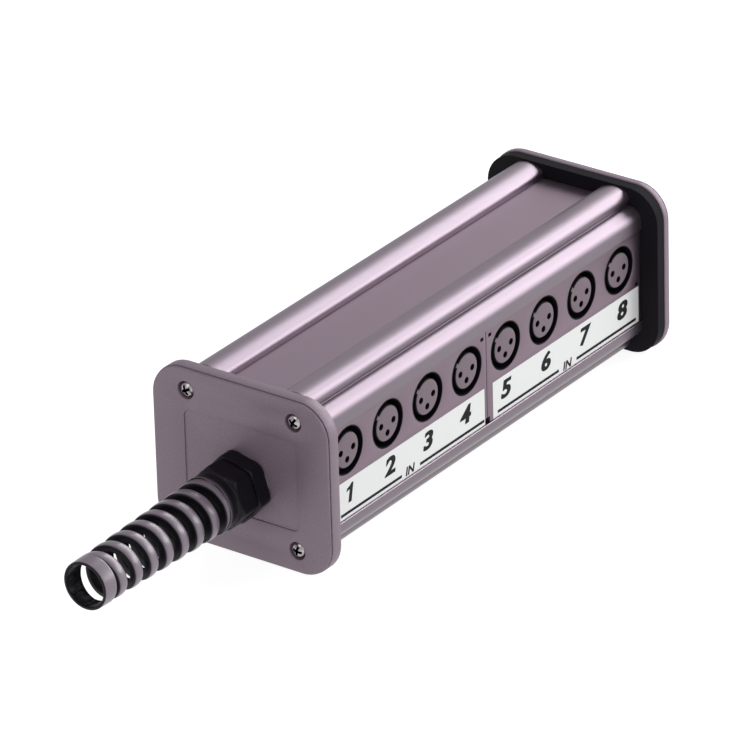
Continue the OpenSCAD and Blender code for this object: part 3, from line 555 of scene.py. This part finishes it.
def digit_one():
    """The 1 is drawn here, because the font's own has no flag as wide as the strip's."""
    bm = bmesh.new()
    pts = [(-0.02, -0.5), (0.19, -0.5), (0.19, 0.5), (0.06, 0.5), (-0.03, 0.39), (-0.21, 0.3), (-0.21, 0.13),
           (-0.02, 0.2)]
    low, high = ([bm.verts.new((u, v, t)) for u, v in pts] for t in (0.0, PRINT_T))
    band(bm, low, high)
    cap(bm, [low])
    cap(bm, [high])
    return to_mesh("one", bm)


def font_glyphs(text, bold, spread):
    """Characters in the built-in font, one unit high, centred on their own origin."""
    curve = bpy.data.curves.new("text", "FONT")
    curve.body = text
    curve.size = 1.0
    curve.offset = bold
    curve.extrude = PRINT_T / 2
    curve.resolution_u = 8
    tmp = bpy.data.objects.new("text", curve)
    bpy.context.scene.collection.objects.link(tmp)
    bpy.context.view_layer.update()
    mesh = bpy.data.meshes.new_from_object(tmp.evaluated_get(bpy.context.evaluated_depsgraph_get()))
    bpy.data.objects.remove(tmp)
    lo, hi = ([pick(v.co[k] for v in mesh.vertices) for k in (0, 1)] for pick in (min, max))
    height = hi[1] - lo[1]
    for v in mesh.vertices:
        v.co.x = (v.co.x - (lo[0] + hi[0]) / 2) / height
        v.co.y = (v.co.y - (lo[1] + hi[1]) / 2) / height
    # three copies side by side thicken the upright strokes
    bm = bmesh.new()
    for k in (-1, 0, 1):
        first = len(bm.verts)
        bm.from_mesh(mesh)
        bm.verts.ensure_lookup_table()
        for v in bm.verts[first:]:
            v.co.x += k * spread
            v.co.z += (k + 1) * COPY_T
    bm.to_mesh(mesh)
    bm.free()
    return mesh


def lettering(name, text, x, z, height, bold, slant, width, spread):
    """Slanted characters centred on (x, z), just proud of the strips."""
    mesh = digit_one() if text == "1" else font_glyphs(text, bold, spread)
    for v in mesh.vertices:
        u, w = v.co.x * width + v.co.y * slant, v.co.y
        v.co = Vector(((x + u * height) * MM, -FRONT * MM - PRINT_T - v.co.z, (z + w * height) * MM))
    add_ink(name, mesh)


def ink_bar(name, x0, x1):
    bm = bmesh.new()
    bar = rounded_rect((x0 + x1) / 2, RULE_Z, (x1 - x0) / 2, RULE_HALF, 0.12, 3)
    rings = loft(bm, [at_y(bar, -FRONT - t) for t in (0.022, 0.0)])
    cap(bm, [rings[0]])
    cap(bm, [rings[-1]])
    add_ink(name, to_mesh(name, bm))


def build_front():
    for m in (0, 1):
        build_module(m)
        build_strip(m)
        for i in range(4 * m + 1, 4 * m + 5):
            lettering("digit_%d" % i, str(i), DIGIT_X[i - 1], Z_MID - 10.8, height=7.7, bold=0.035,
                      slant=0.2, width=1.28, spread=0.022)
    for k, (x, z) in enumerate(LEGENDS):
        lettering("legend_%d" % k, "IN", x, Z_MID + z, height=3.7, bold=0.02, slant=0.22, width=1.1,
                  spread=0.025)
    for k, (x0, x1) in enumerate(RULES):
        ink_bar("rule_%d" % k, x0, x1)


# ---------------------------------------------------------------- sockets
def build_shell(i):
    """Black cup with a thin rim, which leaves the ring round the insert open."""
    outside = ((9.62, 0.01), (9.86, 0.01), (9.9, 0.05), (9.9, 2.0), (10.85, 2.0), (11.0, 2.15), (11.0, 17.85),
               (10.85, 18.0))
    inside = ((9.62, 0.01), (9.55, 0.08), (9.55, 15.4), (9.45, 15.5))
    bm = bmesh.new()
    walls = []
    for wall in (outside, inside):
        walls.append(loft(bm, [at_y(circle(socket_x(i), Z_ROW, r, 72), y - FRONT) for r, y in wall]))
        cap(bm, [walls[-1][-1]])
    band(bm, walls[0][0], walls[1][0])
    finish_piece("shell_%d" % i, bm, "socket_shell", "box", ("socket_shell_%d" % i,), 35)


KEY_TURN = math.radians(142)
PIN_R = 3.96    # of the circle on which the three pin holes stand


def insert_outline(x, z, d):
    """Round insert with a key rib, inset by d."""
    r, half, top, chamfer = 7.35 - d, 1.1 - d, 8.35 - d, 0.15
    a = math.asin(half / r)
    n = 66
    pts = []
    for k in range(n + 1):
        t = KEY_TURN + a + (2 * math.pi - 2 * a) * k / n
        pts.append((x + r * math.cos(t), z + r * math.sin(t)))
    u = (math.cos(KEY_TURN), math.sin(KEY_TURN))
    for radial, s in ((top - chamfer, -half), (top, chamfer - half), (top, half - chamfer), (top - chamfer, half)):
        pts.append((x + u[0] * radial - u[1] * s, z + u[1] * radial + u[0] * s))
    return pts


def build_insert(i):
    """Insert with its three pin holes, at left, below and right."""
    x, z, face = socket_x(i), Z_ROW, 0.2 - FRONT
    bm = bmesh.new()
    rings = loft(bm, [at_y(insert_outline(x, z, d), face + y)
                      for d, y in ((0.5, 0.0), (0.3, 0.08), (0.08, 0.25), (0.0, 0.5), (0.0, 15.3))])
    front, back = [rings[0]], [rings[-1]]
    for k in range(3):
        a = math.pi + math.pi / 2 * k
        hole = loft(bm, [at_y(circle(x + PIN_R * math.cos(a), z + PIN_R * math.sin(a), r, 28), face + y)
                         for r, y in ((1.42, 0.0), (1.26, 0.12), (1.2, 0.3), (1.2, 2.0), (1.65, 2.0), (1.65, 14.1),
                                      (0.6, 14.1), (0.6, 15.3))])
        front.append(hole[0])
        back.append(hole[-1])
    cap(bm, front)
    cap(bm, back)
    finish_piece("insert_%d" % i, bm, "socket_insert", "box", ("socket_insert_%d" % i,), 30)


# ---------------------------------------------------------------- gland
HEX_TURN = math.radians(90 - 12.6)
BODY_AF, DOME_AF = 24.7, 23.4               # the hexagons, across their flats
HEX_N, ROUND_N = 144, 96                    # points in a ring with and without a hexagon
THREAD_R, THREAD_PITCH, THREAD_DEPTH, THREAD_STEP = 10.0, 1.5, 0.6, 0.125
S_COLLAR, S_TIP, S_END = 23.0, 90.0, 96.6   # distances outside the near plate
RIB_PITCH, RIB_W, RIB_PHASE = 9.1, 5.2, 198.0


def on_gland(points, s):
    """Points given as (angle, radius) pairs round the gland's axis, at a distance s outside the near plate."""
    return [(X_NEAR - s, r * math.sin(a), Z_GLAND + r * math.cos(a)) for a, r in points]


def ring_points(r, n=ROUND_N):
    return [(2 * math.pi * i / n, r) for i in range(n)]


def hex_points(af, limit):
    """Hexagon clipped to a circle, as (angle, radius) pairs with samples on every corner."""
    pts = []
    for i in range(HEX_N):
        a = 2 * math.pi * i / HEX_N
        off = (a + math.pi / 6) % (math.pi / 3) - math.pi / 6
        pts.append((HEX_TURN + math.pi / 6 + a, min(af / 2 / math.cos(off), limit)))
    return pts


def thread_points(s, start, end):
    """One ring of a right-handed thread, which fades out towards both of its ends."""
    pts = []
    for a, _ in ring_points(THREAD_R):
        p = (s / THREAD_PITCH - a / (2 * math.pi)) % 1.0
        rise = min(1.0, max(0.0, 1.6 - abs(p - 0.5) * 4.4))
        fade = min(1.0, max(0.0, (s - start) / 0.8), max(0.0, (end - s) / 0.8))
        pts.append((a, THREAD_R - THREAD_DEPTH * (1 - rise * fade)))
    return pts


def thread_rings(start, end):
    n = round((end - start) / THREAD_STEP)
    places = [start + (end - start) * i / n for i in range(n + 1)]
    return [on_gland(thread_points(s, start, end), s) for s in places]


def build_gland_base():
    """Hexagon with a threaded sleeve on both sides, bored through, with the cup for the claw."""
    bm = bmesh.new()
    rings = loft(bm, [on_gland(hex_points(BODY_AF, lim), s) for lim, s in (
        (13.3, 0.0), (13.7, 0.3), (13.95, 0.7), (13.95, 6.1), (13.75, 6.45), (13.4, 6.75), (12.9, 6.93),
        (12.5, 7.0))])
    rows = [on_gland(ring_points(9.9), 7.0)] + thread_rings(7.05, 15.8)
    rows += [on_gland(ring_points(r), s) for r, s in (
        (9.3, 16.0), (8.9, 16.0), (8.8, 15.9), (8.8, 2.5), (8.0, 2.5), (8.0, -13.6), (9.35, -13.6))]
    rows += thread_rings(-13.4, -0.2)
    rows += [on_gland(ring_points(r), s) for r, s in ((9.9, 0.0), (9.95, 1.0), (12.1, 1.0), (12.1, 0.0))]
    lathe = loft(bm, rows)
    cap(bm, [rings[-1], lathe[0]])
    cap(bm, [rings[0], lathe[-1]])
    finish_piece("gland_base", bm, "gland", "box", ("gland_body",), 34)


def along(s):
    """How far s lies on the way from the collar to the tip ring, from 0 to 1."""
    return min(max((s - S_COLLAR) / (S_TIP - S_COLLAR), 0.0), 1.0)


def add_dome(bm):
    """Dome hexagon that fades into a round neck, and a step ring."""
    outside = (
        (12.1, 7.2), (12.8, 7.3), (13.2, 7.6), (13.3, 7.9), (13.3, 14.6), (13.15, 15.3), (12.8, 15.9), (12.3, 16.35),
        (11.7, 16.62), (11.35, 16.8), (11.2, 17.1), (11.1, 17.6), (11.1, 21.3), (11.2, 21.65), (11.5, 21.85),
        (11.85, 21.92), (11.98, 22.0), (12.03, 22.15), (12.0, 22.35), (11.85, 22.6), (11.68, 22.85), (11.5, 23.0))
    inside = ((7.2, 23.0), (7.02, 22.9), (7.0, 22.7), (7.0, 17.4), (10.05, 17.4), (10.05, 8.0), (10.3, 7.3),
              (10.6, 7.2))
    round_af = 40.0  # so wide that only the circle counts
    loft(bm, [on_gland(hex_points(DOME_AF, lim), s) for lim, s in outside] +
         [on_gland(hex_points(round_af, lim), s) for lim, s in inside], closed=True)


def add_tip_ring(bm):
    """Tip ring: outside, mouth with small grip ribs, and inside face."""
    tip = ((9.72, S_TIP), (9.86, S_TIP + 0.05), (9.92, S_TIP + 0.2), (9.9, S_TIP + 0.5), (9.78, S_END - 0.6),
           (9.72, S_END - 0.3), (9.6, S_END - 0.1), (9.42, S_END), (8.8, S_END), (8.62, S_END - 0.06),
           (8.52, S_END - 0.22))
    grip = ((8.5, S_END - 0.6), (8.5, S_TIP + 0.4), (8.55, S_TIP))

    def mouth(r, s):
        ribbed = S_TIP + 0.2 <= s <= S_END - 0.5
        return on_gland([(a, r - (max(0.0, math.cos(8 * a)) ** 12 * 0.32 if ribbed else 0.0))
                         for a, r in ring_points(r, HEX_N)], s)
    loft(bm, [on_gland(ring_points(r, HEX_N), s) for r, s in tip] + [mouth(r, s) for r, s in grip], closed=True)


def add_spiral(bm):
    """One unbroken wound rib, whose first and last turns run into the collar and the tip ring."""
    half = RIB_W / 2
    s0, s1 = S_COLLAR - half - 0.25, S_TIP + half + 0.25
    low, high = S_COLLAR - 1.0, S_TIP + 1.4
    turns = (s1 - s0) / RIB_PITCH
    count = round(turns * 60)
    rings = []
    for i in range(count + 1):
        s = s0 + (s1 - s0) * i / count
        a = math.radians(RIB_PHASE) + 2 * math.pi * turns * i / count
        out = 11.7 - 1.8 * along(s) - 0.04
        core = 7.0 + 1.5 * along(s) ** 7 + 0.04
        crowned = [(out - drop, half - back) for drop, back in (
            (0.95, 0.0), (0.6, 0.08), (0.34, 0.34), (0.16, 0.8), (0.05, 1.5))]
        section = [(core, -half + 0.3), (core, half - 0.3), (core + 0.1, half - 0.06), (core + 0.35, half)]
        section += crowned + [(out, 0.0)] + [(r, -k) for r, k in reversed(crowned)]
        section += [(core + 0.35, -half), (core + 0.1, -half + 0.06)]
        rings.append([(X_NEAR - min(max(s + k, low + 0.02 * k), high + 0.02 * k), r * math.sin(a),
                       Z_GLAND + r * math.cos(a)) for r, k in section])
    made = loft(bm, rings)
    cap(bm, [made[0]])
    cap(bm, [made[-1]])


def build_spiral_nut():
    bm = bmesh.new()
    add_dome(bm)
    add_tip_ring(bm)
    add_spiral(bm)
    finish_piece("bend_relief", bm, "gland", "spiral_nut", ("spiral_nut",), 38)


build_posts()
build_plate("near", X_NEAR, 1, t_plate=6.6, near=True)
build_plate("far", X_FAR, -1, t_plate=3.9, near=False)
build_pan_screws("near", X_NEAR, 1)
build_pan_screws("far", X_FAR, -1)
build_front()
for number in range(1, 9):
    build_shell(number)
    build_insert(number)
build_gland_base()
build_spiral_nut()


# ---------------------------------------------------------------- stage, light and camera
LIGHT_AIM = (0.05, 0.0, 0.035)  # metres: about the middle of the box


def softbox(name, toward, distance, size, power, roll=0.0):
    """An area light, its sizes in metres, in the direction `toward` from the box, turned to face it and rolled."""
    data = bpy.data.lights.new(name, "AREA")
    data.shape = "RECTANGLE"
    data.size, data.size_y = size
    data.energy = power
    obj = to_object(name, data)
    back = Vector(toward).normalized()
    obj.location = Vector(LIGHT_AIM) + back * distance
    turn = back.to_track_quat("Z", "Y") @ Quaternion((0, 0, 1), math.radians(roll))
    obj.rotation_euler = turn.to_euler()


def build_stage():
    """Pale floor that glows a little, soft sky and three softboxes."""
    bm = bmesh.new()
    bmesh.ops.create_grid(bm, x_segments=2, y_segments=2, size=6.0)
    mesh = bpy.data.meshes.new("floor")
    bm.to_mesh(mesh)
    bm.free()
    mesh.materials.append(shader("floor", (0.25, 0.25, 0.25), 0.0, 0.9, Emission_Color=(1.0, 1.0, 1.0, 1.0),
                                 Emission_Strength=0.88))
    floor = to_object("floor", mesh)
    floor.location.z = -0.2 * MM
    world = bpy.data.worlds.new("world")
    world.use_nodes = True
    background = world.node_tree.nodes["Background"]
    background.inputs["Color"].default_value = (0.97, 0.96, 1.0, 1.0)
    background.inputs["Strength"].default_value = 0.6
    bpy.context.scene.world = world
    softbox("key", (0.718, -0.29, 0.43), 1.7, (2.65, 0.8), 42.0, 26.0)
    softbox("side", (-0.8, 0.1, 0.6), 2.2, (1.0, 1.0), 5.0)
    softbox("fill", (-0.5, -0.8, 0.5), 2.2, (1.2, 1.2), 8.0)


def build_camera():
    """The camera that was fitted to the photo, with a picture of 750 pixels and its centre a little off the box."""
    azimuth, elevation, roll = (math.radians(v) for v in (-53.587, 26.881, -1.646))
    distance, lens_px, offset_x, offset_y = 2747.752, 7316.708, 50.224, 35.954
    back = Vector((math.sin(azimuth) * math.cos(elevation),
                   -math.cos(azimuth) * math.cos(elevation), math.sin(elevation)))
    level = Vector((math.cos(azimuth), math.sin(azimuth), 0))
    upright = back.cross(level)
    right = level * math.cos(roll) + upright * math.sin(roll)
    up = upright * math.cos(roll) - level * math.sin(roll)
    place = back * distance + right * offset_x + up * offset_y + Vector((X_NEAR, 0, Z_MID))
    data = bpy.data.cameras.new("camera")
    data.sensor_width = 36.0
    data.lens = lens_px / 750 * 36.0
    data.clip_start, data.clip_end = 0.1, 50.0
    cam = to_object("camera", data)
    cam.matrix_world = Matrix.Translation(place * MM) @ Matrix((right, up, back)).transposed().to_4x4()
    bpy.context.scene.camera = cam


build_stage()
build_camera()
bpy.context.scene.view_settings.view_transform = "Standard"
bpy.context.scene.view_settings.look = "None"
